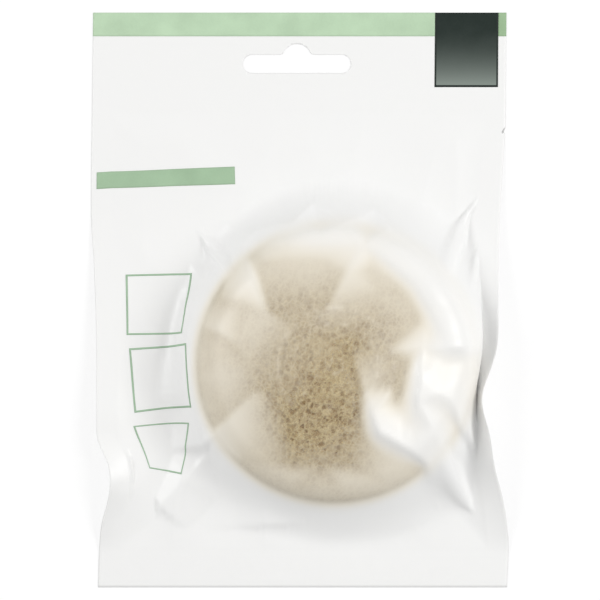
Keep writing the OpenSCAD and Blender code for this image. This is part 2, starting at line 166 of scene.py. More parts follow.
# How far the corners of each outlined square are drawn askew with the film, in millimetres: lower left, lower
# right, upper left and upper right, for the lowest square first.
PULLS = (
    ((3.5, 3.8), (-3.5, 2.0), (0.5, -0.8), (-0.3, 0.1)),
    ((1.0, -1.4), (0.8, 0.2), (-0.5, 0.3), (-0.3, 2.1)),
    ((-1.1, -0.4), (-2.0, 0.5), (-0.8, -0.1), (0.5, 1.3)),
)
# The air holds the film up on a grid of this span and step, in millimetres, and as if it came down at this
# share of the sponge's radius.
AIR_SPAN, AIR_STEP, AIR_REACH = 57, 0.3, 1.6
# How the front web is let go, from a coarse grid to a fine one: columns, rounds, how far it sinks in the
# first round, and the share of its stiffness.
SETTLING = ((50, 500, 0.03 * MM, 1), (100, 500, 0.02 * MM, 0.5), (200, 160, 0.015 * MM, 0.06))
# The soft creases of the free film: their size, and how far from the sponge and from the welds they are full.
CRUMPLE_SIZE, CRUMPLE_FROM_SPONGE, CRUMPLE_FROM_WELD = 26 * MM, 12 * MM, 8 * MM
# The large and the small pores: their share of the pore size and of the pore depth.
PORE_NETS = ((1.0, 1.0), (0.6, 0.7))
# The seed of the warp that makes the pores uneven, the same for the sponge and for what the film shows of it.
PORE_SEED = 1


# ---- Sizes and colours ----

def length_property(name, description, millimetres):
    """A length that a user can change, with its default in millimetres."""
    return FloatProperty(name=name, description=description, default=millimetres * MM, unit="LENGTH")


def color_property(name, description, default):
    """A colour that a user can change."""
    return FloatVectorProperty(name=name, description=description, default=default, subtype="COLOR")


class SpongeSettings(bpy.types.PropertyGroup):
    """The half-ball sponge."""
    rim_radius: length_property("Rim radius", "Radius round the edge of the flat back", 5)
    side_height: length_property("Side height", "Height of the upright side", 2)
    shoulder_radius: length_property("Shoulder radius", "Radius between the side and the crown", 11)
    grain: length_property("Grain", "Spacing of the points of the sponge's mesh", 0.36)
    pore_size: length_property("Pore size", "Distance from pore to pore", 1.5)
    pore_depth: length_property("Pore depth", "Depth of the largest pores", 0.7)
    cord_hole: length_property("Cord hole", "Diameter of the hole in the flat back", 2.4)
    cord_hole_depth: length_property("Cord hole depth", "Depth of the hole in the flat back", 9)
    fibre_color: color_property("Fibre colour", "Colour of the walls between pores", (0.63, 0.51, 0.265))
    # Painted shade: the hollows of the pores are darkened to this colour.
    pore_shade_color: color_property("Pore colour", "Colour of the bottom of a pore", (0.23, 0.125, 0.034))


class FilmSettings(bpy.types.PropertyGroup):
    """The two webs of frosted film."""
    thickness: length_property("Thickness", "Thickness of one web", 0.12)
    clearance: length_property("Clearance", "Distance from the sponge to the film on it", 0.35)
    side_weld: length_property("Side weld", "Width of the weld along each side", 6)
    slot_length: length_property("Slot length", "Length of the hang slot", 31)
    slot_height: length_property("Slot height", "Height of the slot's straight part", 5.2)
    crown_width: length_property("Crown width", "Width of the crown over the slot's middle", 8.4)
    crown_rise: length_property("Crown rise", "Rise of the crown above the slot", 3.1)
    crown_fillet: length_property("Crown fillet", "Radius where the crown meets the slot", 1.2)
    slot_drop: length_property("Slot drop", "Distance from the top edge to the slot's middle", 14.7)
    slot_left: length_property("Slot left", "Distance of the slot left of the middle", 0.9)
    notch_width: length_property("Notch width", "Width of the tear notch", 1.7)
    notch_depth: length_property("Notch depth", "Depth of the tear notch", 1.3)
    notch_drop: length_property("Notch drop", "Distance from the header down to the notch", 5)
    rib_pitch: length_property("Rib pitch", "Distance from rib to rib in the bottom weld", 1.1)
    rib_height: length_property("Rib height", "Height of a rib", 0.12)
    rows: IntProperty(name="Rows", description="Rows of cells up the front web", default=194)
    cling_turn: FloatProperty(name="Cling", description="Angle from the vertical to which the film clings",
                              default=math.radians(64), unit="ROTATION")
    air_share: FloatProperty(name="Air", description="Share of the film's height that air holds up",
                             default=0.09, subtype="FACTOR")
    slack_across: FloatProperty(name="Slack across", description="Cut width over drawn width", default=1.10)
    slack_up: FloatProperty(name="Slack up", description="Cut height over drawn height", default=1.06)
    crumple: length_property("Crumple", "Height of the soft creases in the free film", 0.8)
    bending: FloatProperty(name="Bending", description="How hard the film is to bend", default=0.4)
    frost_color: color_property("Frost colour", "Colour of the frosted film", (0.93, 0.93, 0.92))
    # Painted light: the sponge's colour, painted on the film where it stands off, as light that comes through
    # it.
    sponge_light_through: color_property("Sponge tint", "Colour of the sponge through lifted film",
                                (0.87, 0.775, 0.585))
    # Painted shade: the hollows of the pores, painted on the film over that.
    pore_shade_through: color_property("Pore tint", "Colour of the pores through lifted film", (0.33, 0.205, 0.085))
    net_size: length_property("Net size", "Distance from pore to pore through lifted film", 1.1)
    clear_veil: FloatProperty(name="Clear veil", description="How much film hides where it touches",
                              default=0.24, subtype="FACTOR")
    full_veil: FloatProperty(name="Full veil", description="How much film hides where it is far off",
                             default=0.93, subtype="FACTOR")
    veil_depth: length_property("Veil depth", "Gap at which what lies behind has blurred", 0.28)
    see_through_depth: length_property("Tint depth", "Gap at which the sponge's colour has faded", 1.2)
    # Painted light: steep film is painted paler, against the shade that falls on it.
    steep_paling: length_property("Steep gap", "Gap that wrinkles add where the film stands upright", 0.35)
    haze: length_property("Haze", "How far the film spreads the light of what lies behind", 0.5)


class PrintSettings(bpy.types.PropertyGroup):
    """The ink on the front web."""
    thickness: length_property("Thickness", "Thickness of the ink as drawn", 0.02)
    band_height: length_property("Band height", "Height of the band along the top edge", 6.8)
    patch_width: length_property("Patch width", "Width of the corner patch", 18.4)
    patch_height: length_property("Patch height", "Height of the corner patch", 21.4)
    patch_inset: length_property("Patch inset", "Distance from the right edge to the patch", 2.3)
    strip_length: length_property("Strip length", "Length of the green strip", 39.4)
    strip_height: length_property("Strip height", "Height of the green strip", 4.8)
    strip_inset: length_property("Strip inset", "Distance from the left edge to the strip", 1.6)
    strip_lean: FloatProperty(name="Strip lean", description="Turn of the strip as the film is drawn",
                              default=math.radians(3.7), unit="ROTATION")
    strip_drop: length_property("Strip drop", "Distance from the header down to the strip", 15.6)
    square_side: length_property("Square side", "Side of an outlined square", 17)
    square_pitch: length_property("Square pitch", "Distance from square to square", 21.5)
    square_line: length_property("Square line", "Width of a square's outline", 0.5)
    square_inset: length_property("Square inset", "Distance from the left edge to the squares", 9.6)
    square_rise: length_property("Square rise", "Distance from the bottom weld to the squares", 19)
    green: color_property("Green", "Colour of the green ink", (0.45, 0.60, 0.42))
    end_green: color_property("End green", "Colour of the band's right end", (0.30, 0.44, 0.265))
    strip_green: color_property("Strip green", "Colour of the green strip", (0.33, 0.47, 0.315))
    line_green: color_property("Line green", "Colour of the squares' outlines", (0.34, 0.49, 0.34))
    dark: color_property("Dark", "Colour of the corner patch at its top", (0.010, 0.019, 0.015))
    dark_low: color_property("Dark, low", "Colour of the corner patch at its foot", (0.215, 0.25, 0.225))


class StageSettings(bpy.types.PropertyGroup):
    """The table, the lamps and the camera."""
    lens: FloatProperty(name="Lens", description="Focal length in millimetres", default=135)
    view_width: length_property("View width", "Width of the table that the picture takes in", 172.3)
    key_power: FloatProperty(name="Key power", description="Power of the large lamp on each side",
                             default=7.5, unit="POWER")
    fill_strength: FloatProperty(name="Fill", description="Strength of the even light all round",
                                 default=0.50)
    table_color: color_property("Table colour", "Colour of the table", (0.93, 0.93, 0.93))


# ---- Shader wiring ----

class Wire:
    """A shader socket that an expression can add, take away, multiply, divide and raise as a number."""

    def __init__(self, finish, socket):
        self.finish = finish
        self.socket = socket

    def _math(self, operation, first, second):
        """Add the Math node of an operation on two sockets or numbers."""
        return self.finish.node("ShaderNodeMath", {"operation": operation}, {0: first, 1: second})

    def __add__(self, other):
        return self._math("ADD", self, other)

    def __radd__(self, other):
        return self._math("ADD", other, self)

    def __sub__(self, other):
        return self._math("SUBTRACT", self, other)

    def __rsub__(self, other):
        return self._math("SUBTRACT", other, self)

    def __mul__(self, other):
        return self._math("MULTIPLY", self, other)

    def __rmul__(self, other):
        return self._math("MULTIPLY", other, self)

    def __truediv__(self, other):
        return self._math("DIVIDE", self, other)

    def __pow__(self, other):
        return self._math("POWER", self, other)


class Finish:
    """A material while it is wired."""

    def __init__(self, name):
        self.material = bpy.data.materials.new(name)
        self.material.use_nodes = True
        self.tree = self.material.node_tree
        self.shader = self.tree.nodes["Principled BSDF"]
        self.output = self.tree.nodes["Material Output"]

    def plug(self, socket, value):
        """Link a wire to a socket, or set the socket's own value."""
        if isinstance(value, Wire):
            self.tree.links.new(value.socket, socket)
        elif hasattr(socket.default_value, "__len__") and len(value) == 3 and len(socket.default_value) == 4:
            socket.default_value = (*value, 1)
        else:
            socket.default_value = value

    def node(self, kind, settings=None, inputs=None, output=0):
        """Add a node: its settings first, then the values and links of its sockets."""
        node = self.tree.nodes.new(kind)
        for name, value in (settings or {}).items():
            setattr(node, name, value)
        for name, value in (inputs or {}).items():
            self.plug(node.inputs[name], value)
        return Wire(self, node.outputs[output])

    def surface(self, **inputs):
        """Set or link the sockets of the material's own shader."""
        for name, value in inputs.items():
            self.plug(self.shader.inputs[name.replace("_", " ")], value)

    def place(self):
        """The point on the object, in its own coordinates."""
        return self.node("ShaderNodeTexCoord", output=3)

    def reading(self, name):
        """A number that the mesh carries at its points."""
        return self.node("ShaderNodeAttribute", {"attribute_name": name}, output=2)

    def grain(self, size, detail):
        """Soft noise from 0 to 1 whose patches are about size across."""
        return self.node("ShaderNodeTexNoise", {},
                         {"Vector": self.place(), "Scale": 1 / size, "Detail": detail})

    def cells(self, size, warp):
        """Warped cells about size across: the distance to their nearest edge, in cells."""
        place = self.place()
        push = self.node("ShaderNodeTexNoise", {}, {"Vector": place, "Scale": 0.6 / size, "Detail": 1.0},
                         output=1)
        push = self.node("ShaderNodeVectorMath", {"operation": "SCALE"}, {0: push, "Scale": warp * size})
        place = self.node("ShaderNodeVectorMath", {"operation": "ADD"}, {0: place, 1: push})
        return self.node("ShaderNodeTexVoronoi", {"feature": "DISTANCE_TO_EDGE"},
                         {"Vector": place, "Scale": 1 / size})

    def mix(self, share, first, second):
        """The first colour at a share of 0, and the second at 1."""
        return self.node("ShaderNodeMix", {"data_type": "RGBA"}, {0: share, 6: first, 7: second}, output=2)

    def between(self, value, low, high):
        """0 below low, 1 above high and straight between them."""
        return self.node("ShaderNodeMapRange", {"clamp": True},
                         {"Value": value, "From Min": low, "From Max": high})

    def bump(self, height, distance, strength):
        """A normal that is tilted by a height from 0 to 1, over a distance."""
        return self.node("ShaderNodeBump", {}, {"Height": height, "Distance": distance, "Strength": strength})


def sponge_finish(settings):
    """Open pores: a pale net of walls over hollows darkened to brown as painted shade, as deep as the mesh
    has them, and a finer net whose cells are painted shade too.
    """
    finish = Finish("pored_sponge")
    fine_net = finish.between(finish.cells(settings.pore_size * 0.45, warp=0.8), 0.04, 0.30)
    speck = finish.grain(0.3 * MM, detail=3)
    patchy = finish.between(finish.grain(13 * MM, detail=2), 0.35, 0.65)
    # The pores and the finer net's cells are darkened towards the pore colour, as painted shade in the
    # hollows.
    deep = finish.reading("pore")
    share = deep * (0.62 + 0.25 * patchy) + fine_net * (0.16 + 0.14 * patchy)
    walls = finish.mix(finish.between(speck, 0.3, 0.7), settings.fibre_color,
                       tuple(0.88 * c for c in settings.fibre_color))
    color = finish.mix(finish.between(share, 0.05, 0.95), walls, settings.pore_shade_color)
    finish.surface(Base_Color=color, Roughness=0.85,
                   Normal=finish.bump(speck * 0.3 - fine_net, 0.15 * MM, 0.7))
    return finish.material


def film_finish(name, settings):
    """Frosted film: it fades what lies behind by the gap that the mesh carries, and has a satin sheen. Where
    it stands off, the sponge's colour is painted on it as painted see-through light, and the sponge's pores
    as painted shade.
    """
    finish = Finish(name)
    mottle = finish.grain(2.2 * MM, detail=3)
    tooth = finish.grain(0.22 * MM, detail=2)
    patchy = finish.between(finish.grain(7 * MM, detail=2), 0.3, 0.7)
    # How much of the sponge's colour is painted on the film as painted see-through light.
    tint = finish.reading("tint")
    net = finish.between(finish.cells(settings.net_size, warp=0.9), 0.02, 0.28)
    wide_net = finish.between(finish.cells(settings.net_size * 1.7, warp=0.9), 0.03, 0.22)
    net = net * (0.35 + 0.65 * patchy) + wide_net * (0.55 - 0.55 * patchy)
    # The pores painted on the film: painted shade of the hollows behind it.
    pored = (finish.reading("pore") * 0.55 + net * 0.5) * (0.7 + 0.3 * patchy)
    near = finish.between(tint, 0.58, 1.0)
    through = finish.mix(pored * near ** 1.4, settings.sponge_light_through, settings.pore_shade_through)
    color = finish.mix(tint, settings.frost_color, through)
    finish.surface(Base_Color=color, Roughness=0.36 + 0.08 * mottle, Alpha=finish.reading("veil"),
                   Normal=finish.bump(tooth, 0.012 * MM, 0.5))
    return finish.material


def ink_finish(name, color, fade=None):
    """Printed ink: a matt coat that is a little uneven, or that fades to a second colour down its height.

    A coat that fades has a thin border in its first colour.
    """
    finish = Finish(name)
    speck = finish.grain(0.5 * MM, detail=3)
    blotch = finish.grain(9 * MM, detail=2)
    paler = tuple(min(1, c * 1.12 + 0.01) for c in color)
    ink = finish.mix(finish.between(blotch + (speck - 0.5) * 0.3, 0.3, 0.7), color, paler)
    if fade:
        flat = finish.node("ShaderNodeTexCoord", output=2)
        across, up = (finish.node("ShaderNodeSeparateXYZ", {}, {0: flat}, output=k) for k in (0, 1))
        ink = finish.mix(finish.between(up, 0.95, 0.05) ** 2.6, ink, fade)
        off_x, off_y = (finish.node("ShaderNodeMath", {"operation": "ABSOLUTE"}, {0: place - 0.5})
                        for place in (across, up))
        border = finish.node("ShaderNodeMath", {"operation": "MAXIMUM"}, {0: off_x, 1: off_y})
        ink = finish.mix(finish.between(border, 0.47, 0.475), ink, tuple(0.9 * c + 0.006 for c in color))
    finish.surface(Base_Color=ink, Roughness=0.5 + 0.1 * speck, Specular_IOR_Level=0.2,
                   Normal=finish.bump(speck, 0.01 * MM, 0.5))
    return finish.material


def table_finish(settings):
    """A white table that shows partly as plain white, to the camera and in gloss, and keeps its shadows."""
    finish = Finish("white_table")
    finish.surface(Base_Color=settings.table_color, Roughness=0.7)
    finish.shader.inputs["Specular IOR Level"].default_value = 0.1
    path = finish.tree.nodes.new("ShaderNodeLightPath")
    seen = sum((Wire(finish, path.outputs[name]) for name in ("Is Glossy Ray", "Is Transmission Ray")),
               Wire(finish, path.outputs["Is Camera Ray"]))
    plain = finish.node("ShaderNodeEmission", {}, {"Color": (1, 1, 1), "Strength": 1.05})
    lit = Wire(finish, finish.shader.outputs[0])
    blend = finish.node("ShaderNodeMixShader", {},
                        {0: finish.between(seen, 0.0, 1.0) * 0.7, 1: lit, 2: plain})
    finish.tree.links.new(blend.socket, finish.output.inputs["Surface"])
    return finish.material


# ---- Objects ----

def add_object(name, mesh, *materials):
    """Put a finished mesh into the scene, with its object at the origin."""
    obj = bpy.data.objects.new(name, mesh)
    bpy.context.collection.objects.link(obj)
    for material in materials:
        mesh.materials.append(material)
    return obj


def mesh_from(bm, name):
    """Turn a bmesh into a mesh, and free it."""
    mesh = bpy.data.meshes.new(name)
    bm.to_mesh(mesh)
    bm.free()
    return mesh


def points_of(mesh):
    """The points of a mesh, as rows of x, y and z."""
    co = np.empty(len(mesh.vertices) * 3)
    mesh.vertices.foreach_get("co", co)
    return co.reshape(-1, 3)


def normals_of(mesh):
    """The normals at the points of a mesh, as rows of x, y and z."""
    normals = np.empty(len(mesh.vertices) * 3)
    mesh.vertices.foreach_get("normal", normals)
    return normals.reshape(-1, 3)


def move_points(mesh, points):
    """Put the points of a mesh in new places."""
    mesh.vertices.foreach_set("co", np.ascontiguousarray(points, dtype=np.float32).ravel())
    mesh.update()


def carry(mesh, name, values):
    """Store a number at each point of a mesh, for its material to read."""
    layer = mesh.attributes.new(name, "FLOAT", "POINT")
    layer.data.foreach_set("value", np.asarray(values, dtype=np.float32))


def flat_grid(name, low, high, columns, rows):
    """A flat sheet over the rectangle from low to high, which carries its flat measures as a UV map."""
    bm = bmesh.new()
    bmesh.ops.create_grid(bm, x_segments=columns, y_segments=rows, size=0.5, calc_uvs=False)
    uv = bm.loops.layers.uv.new("flat")
    for face in bm.faces:
        for loop in face.loops:
            loop[uv].uv = (loop.vert.co.x + 0.5, loop.vert.co.y + 0.5)
    for vert in bm.verts:
        vert.co.x = low[0] + (vert.co.x + 0.5) * (high[0] - low[0])
        vert.co.y = low[1] + (vert.co.y + 0.5) * (high[1] - low[1])
    return mesh_from(bm, name)


def baked(obj):
    """Apply every modifier of an object to its mesh."""
    mesh = bpy.data.meshes.new_from_object(obj.evaluated_get(bpy.context.evaluated_depsgraph_get()))
    obj.modifiers.clear()
    obj.data = mesh
    return obj


# ---- The form of the sponge and of the film over it ----

@functools.lru_cache(maxsize=None)
def sponge_arcs():
    """Radius of the crown, height of its centre, and the turn at which it runs into the shoulder."""
    sizes = bpy.context.scene.sponge
    shoulder_x = SPONGE_R - sizes.shoulder_radius
    shoulder_z = sizes.rim_radius + sizes.side_height
    drop = SPONGE_H - shoulder_z
    crown_r = ((shoulder_x ** 2 + drop ** 2 - sizes.shoulder_radius ** 2)
               / (2 * (drop - sizes.shoulder_radius)))
    crown_z = SPONGE_H - crown_r
    return crown_r, crown_z, shoulder_x, shoulder_z, math.atan2(shoulder_x, shoulder_z - crown_z)


def arc(x, z, radius, start, end, steps):
    """Points on a round from one turn to another, both measured from the vertical."""
    turns = np.linspace(start, end, steps)
    return np.column_stack([x + radius * np.sin(turns), z + radius * np.cos(turns)])


def sponge_profile(grow=0.0, steps=40):
    """The sponge's section from the crown's middle to the middle of the flat back, as [distance, height]."""
    sizes = bpy.context.scene.sponge
    crown_r, crown_z, shoulder_x, shoulder_z, turn = sponge_arcs()
    quarter = math.pi / 2
    crown = arc(0, crown_z, crown_r + grow, 0, turn, steps)
    shoulder = arc(shoulder_x, shoulder_z, sizes.shoulder_radius + grow, turn, quarter, steps)[1:]
    rim = sizes.rim_radius
    foot = arc(SPONGE_R - rim, rim, rim + grow, quarter, math.pi, steps)
    back = np.array([[0, -grow]])
    return np.vstack([crown, shoulder, foot, back]) + [0, SPONGE_Z]


def along(shares, b):
    """Read a table of shares at the heights b, rounded off over a few millimetres."""
    stops, values = np.array(shares).T
    spread = np.linspace(-TABLE_ROUNDING, TABLE_ROUNDING, 9)
    return np.mean([np.interp(b / POUCH_H + s, stops, values) for s in spread], axis=0)


def weld_lines(b):
    """The inner and the outer edge of both side welds at the heights b, as [x, z] pairs."""
    width = bpy.context.scene.film.side_weld
    lines = []
    sides = ((-1, LEFT_EDGE, LEFT_LIFT, LEFT_TURN), (1, RIGHT_EDGE, RIGHT_LIFT, RIGHT_TURN))
    for side, edge, lift, turn in sides:
        run = width * np.cos(math.pi / 2 * along(turn, b))
        rise = width * np.sin(math.pi / 2 * along(turn, b))
        inner_x = side * (POUCH_W / 2 * along(edge, b) - run)
        if side > 0:
            keep = SPONGE_R + WELD_CLEARANCE
            dy = b + CAD_LOW.y - SPONGE_Y
            clear_x = SPONGE_X + np.sqrt(np.maximum(keep ** 2 - dy ** 2, 0))
            inner_x = np.maximum(inner_x, np.where(np.abs(dy) < keep, clear_x, 0))
        inner_z = SPONGE_H * along(lift, b)
        lines.append(((inner_x, inner_z), (inner_x + side * run, inner_z + rise)))
    return lines


def mix(low, high, share):
    """The value between low, at a share of 0, and high, at 1."""
    return low + (high - low) * share


def weld_sheet(a, b):
    """Where a point of the flat film would lie if no sponge were in the pouch, at the welds' heights."""
    width = bpy.context.scene.film.side_weld
    (left_in, left_out), (right_in, right_out) = weld_lines(b)
    share = np.clip((a - width) / (POUCH_W - 2 * width), 0, 1)
    points = [mix(left_in[k], right_in[k], share) for k in (0, 1)]
    for k in (0, 1):
        points[k] = np.where(a < width, mix(left_out[k], left_in[k], a / width), points[k])
        points[k] = np.where(a > POUCH_W - width,
                             mix(right_in[k], right_out[k], (a - POUCH_W + width) / width), points[k])
    return np.column_stack([points[0], b + CAD_LOW.y, points[1]])


def reach(a, b):
    """How far a point lies from the sponge's middle towards the welds, from 0 to 1."""
    width = bpy.context.scene.film.side_weld
    left, right = SPONGE_A - width, POUCH_W - width - SPONGE_A
    below, above = SPONGE_B - BOTTOM_B, HEADER_B - SPONGE_B
    side = np.where(a > SPONGE_A, (a - SPONGE_A) / right, (SPONGE_A - a) / left)
    end = np.where(b > SPONGE_B, (b - SPONGE_B) / above, (SPONGE_B - b) / below)
    return np.maximum(side, end)


def weld_beyond(a, b):
    """How far each point lies towards the welds, and the height of the weld that lies beyond it."""
    share = np.clip(reach(a, b), 1e-4, 1)
    rim = weld_sheet(SPONGE_A + (a - SPONGE_A) / share, SPONGE_B + (b - SPONGE_B) / share)
    return share, rim[:, 2]


def from_axis(points):
    """Distance of each point from the sponge's upright axis."""
    return np.hypot(points[:, 0] - SPONGE_X, points[:, 1] - SPONGE_Y)


def over_sponge(distance, far, height, gap):
    """Height of film that clings to the sponge's shoulder, and sags from there to the weld.

    The weld lies at the distance far from the sponge's axis, and gap is the film's distance from the sponge.
    """
    film = bpy.context.scene.film
    crown_r, crown_z, shoulder_x, shoulder_z, turn = sponge_arcs()
    rc, rs = crown_r + gap, bpy.context.scene.sponge.shoulder_radius + gap
    cz, sz = SPONGE_Z + crown_z, SPONGE_Z + shoulder_z
    # The turn at which film pulled straight from the weld would leave the shoulder.
    taut = np.arctan2(far - shoulder_x, height - sz) - np.arccos(
        np.minimum(1, rs / np.hypot(far - shoulder_x, height - sz)))
    t = np.maximum(film.cling_turn, taut)
    touch_d, touch_z = shoulder_x + rs * np.sin(t), sz + rs * np.cos(t)
    run, drop = far - touch_d, touch_z - height
    bend = np.maximum(1, (np.tan(t) * run / drop - film.air_share) / (1 - film.air_share))
    left = np.clip(1 - (distance - touch_d) / run, 0, 1)
    sagging = height + drop * mix(left ** bend, left, film.air_share)
    on_round = np.where(distance <= rc * math.sin(turn),
                        cz + np.sqrt(np.maximum(rc ** 2 - distance ** 2, 0)),
                        sz + np.sqrt(np.maximum(rs ** 2 - (distance - shoulder_x) ** 2, 0)))
    return np.where(distance > touch_d, sagging, on_round)


def front_start(a, b):
    """Where the points of the front web lie before it is let go: as its solid does, without folds."""
    film = bpy.context.scene.film
    points = weld_sheet(a, b)
    distance = from_axis(points)
    share, weld_z = weld_beyond(a, b)
    height = over_sponge(distance, distance / share, weld_z + film.thickness, film.clearance)
    points[:, 2] = np.where(share < 1, height, points[:, 2] + film.thickness)
    return points


@functools.lru_cache(maxsize=None)
def support():
    """The heights to which air holds the film up round the sponge, on a grid of [x, y] from its middle."""
    corners, edges = [], []
    for crease in CREASES:
        edges += [(len(corners) + k, len(corners) + k + 1) for k in range(len(crease) - 1)]
        corners += crease
    corners += STAND_OFF
    net = geometry.delaunay_2d_cdt([Vector(c[:2]) for c in corners], edges, [], 0, 1e-4)
    lifts = np.array([corners[old[0]][2] if old else 0 for old in net[3]])
    stops = np.arange(-AIR_SPAN, AIR_SPAN + 0.1, AIR_STEP)
    x, y = np.meshgrid(stops, stops, indexing="ij")
    lift = np.zeros(x.shape)
    for face in net[2]:
        (x0, y0), (x1, y1), (x2, y2) = (net[0][k] for k in face)
        area = (x1 - x0) * (y2 - y0) - (x2 - x0) * (y1 - y0)
        u = ((x - x0) * (y2 - y0) - (x2 - x0) * (y - y0)) / area
        v = ((x1 - x0) * (y - y0) - (x - x0) * (y1 - y0)) / area
        here = (u >= 0) & (v >= 0) & (u + v <= 1)
        k0, k1, k2 = lifts[list(face)]
        lift = np.where(here, k0 + (k1 - k0) * u + (k2 - k0) * v, lift)
    distance = np.hypot(x, y) * MM
    base = over_sponge(distance, SPONGE_R * AIR_REACH, 0, bpy.context.scene.film.clearance)
    return stops * MM, np.where(lift > 0, base + lift * MM, 0)


def read_grid(stops_u, stops_v, values, u, v):
    """Read a grid of values between its stops, with the slopes along both."""
    step_u, step_v = stops_u[1] - stops_u[0], stops_v[1] - stops_v[0]
    u = np.clip((u - stops_u[0]) / step_u, 0, len(stops_u) - 1.001)
    v = np.clip((v - stops_v[0]) / step_v, 0, len(stops_v) - 1.001)
    i, j = u.astype(int), v.astype(int)
    u, v = u - i, v - j
    c00, c10, c01, c11 = values[i, j], values[i + 1, j], values[i, j + 1], values[i + 1, j + 1]
    slope_u = mix(c10 - c00, c11 - c01, v) / step_u
    slope_v = mix(c01 - c00, c11 - c10, u) / step_v
    return mix(mix(c00, c10, u), mix(c01, c11, u), v), slope_u, slope_v


@functools.lru_cache(maxsize=None)
def sponge_distance():
    """Distance from the sponge's surface, less than 0 inside, on a grid of [distance from its axis, z]."""
    profile = sponge_profile(steps=60)[:-1]
    step, below, beyond = 0.4 * MM, 2 * MM, 12 * MM
    d = np.arange(0, SPONGE_R + beyond, step)
    z = np.arange(-below, SPONGE_H + beyond, step)
    grid_d, grid_z = np.meshgrid(d, z, indexing="ij")
    away = np.full(grid_d.shape, 1.0)
    for px, pz in profile:
        away = np.minimum(away, np.hypot(grid_d - px, grid_z - pz))
    half = np.argmax(profile[:, 0])
    top = np.interp(grid_d, profile[:half + 1, 0], profile[:half + 1, 1])
    bottom = np.interp(grid_d, profile[:half - 1:-1, 0], profile[:half - 1:-1, 1])
    inside = (grid_d < SPONGE_R) & (grid_z < top) & (grid_z > bottom)
    return d, z, np.where(inside, -away, away)


def off_sponge(points, gap):
    """Push the points of a grid out of the sponge, to the gap from its surface."""
    d_stops, z_stops, away = sponge_distance()
    x, y = points[..., 0] - SPONGE_X, points[..., 1] - SPONGE_Y
    d = np.hypot(x, y)
    here, slope_d, slope_z = read_grid(d_stops, z_stops, away, d, points[..., 2])
    push = np.where(d < d_stops[-2], np.maximum(gap - here, 0), 0)
    # The slope is about 1, but less where the nearest surface changes from one side to another.
    scale = push / np.maximum(np.hypot(slope_d, slope_z), 0.3)
    d = np.maximum(d, 1e-5)
    return points + np.stack([scale * slope_d * x / d, scale * slope_d * y / d, scale * slope_z], axis=-1)


def draw(points, free, first, second, length, hold):
    """Bring the pairs of points first and second of a grid back to a length."""
    way = points[second] - points[first]
    now = np.linalg.norm(way, axis=-1)
    weight = free[first] + free[second]
    share = np.where(weight > 0, hold * (now - length) / np.maximum(now * weight, 1e-9), 0)
    points[first] += (free[first] * share)[..., None] * way
    points[second] -= (free[second] * share)[..., None] * way


def bend(values):
    """How far the mean of each inner value's four neighbours in a grid lies from it."""
    around = values[:-2, 1:-1] + values[2:, 1:-1] + values[1:-1, :-2] + values[1:-1, 2:]
    return around / 4 - values[1:-1, 1:-1]


def pairs(across, up):
    """Pairs of neighbours in a grid, in groups that share no point, each with its cut lengths and hold."""
    rows, columns = across.shape
    slant = np.hypot(across, up)
    groups = []
    for start in (0, 1):
        n = (columns - start) // 2 * 2
        first, second = slice(start, start + n, 2), slice(start + 1, start + n, 2)
        groups.append(((slice(None), first), (slice(None), second), across, 1.0))
        n = (rows - start) // 2 * 2
        first, second = slice(start, start + n, 2), slice(start + 1, start + n, 2)
        groups.append(((first, slice(None)), (second, slice(None)), up, 1.0))
        groups.append(((first, slice(0, -1)), (second, slice(1, None)), slant, 0.5))
        groups.append(((first, slice(1, None)), (second, slice(0, -1)), slant, 0.5))
    return [(first, second, lengths[first], hold) for first, second, lengths, hold in groups]


def spare(distance):
    """How much of the film's slack lies at a distance from the sponge's middle line, from 1 down to 0.

    The high power keeps the slack even over the sponge and takes it away soon after its edge.
    """
    return np.exp(-(distance / SPONGE_R) ** 6)


def settle(points, a, b, held, rounds, gravity, stiffness):
    """Let a grid of film sink on the sponge and the back web, each cell keeping its cut size."""
    film = bpy.context.scene.film
    rows, columns = a.shape
    (_, left), (_, right) = weld_lines(b)
    wider = mix(1, film.slack_across, spare(b + CAD_LOW.y - SPONGE_Y))
    longer = mix(1, film.slack_up, spare(a + CAD_LOW.x - SPONGE_X))
    across = (right[0] - left[0]) / (columns - 1) * wider
    up = POUCH_H / (rows - 1) * longer
    bed = back_points(a.ravel(), b.ravel())[:, 2].reshape(a.shape) + film.thickness
    free = np.where(held, 0.0, 1.0)
    stops, heights = support()
    groups = pairs(across, up)
    for turn in range(rounds):
        # The film sinks more and more slowly, down to a tenth.
        points[..., 2] -= free * gravity * (1 - 0.9 * turn / rounds)
        for first, second, length, hold in groups:
            draw(points, free, first, second, length, hold)
        points[2:-2, 2:-2] -= (stiffness * free[2:-2, 2:-2])[..., None] * bend(bend(points))
        moved = off_sponge(points, film.clearance)
        x, y = moved[..., 0] - SPONGE_X, moved[..., 1] - SPONGE_Y
        held_up = read_grid(stops, stops, heights, x, y)[0]
        moved[..., 2] = np.maximum(np.maximum(moved[..., 2], held_up), bed)
        points = np.where(held[..., None], points, moved)
    return points


@functools.lru_cache(maxsize=None)
def settled_front():
    """The front web, let go over the sponge and held at its welds: its grid of points, row by row."""
    film = bpy.context.scene.film
    grid = None
    for columns, rounds, gravity, share in SETTLING:
        rows = round(columns * POUCH_H / POUCH_W)
        up, across = np.linspace(0, POUCH_H, rows + 1), np.linspace(0, POUCH_W, columns + 1)
        b, a = np.meshgrid(up, across, indexing="ij")
        flat = a.ravel(), b.ravel()
        start = front_start(*flat) if grid is None else resampled(grid, *flat)
        start = start.reshape(*a.shape, 3)
        edge = film.side_weld - 0.1 * MM
        held = (a < edge) | (a > POUCH_W - edge) | (b < BOTTOM_B) | (b > HEADER_B)
        start[held] = weld_sheet(a[held], b[held]) + [0, 0, film.thickness]
        grid = settle(start, a, b, held, rounds, gravity, film.bending * share)
    return grid


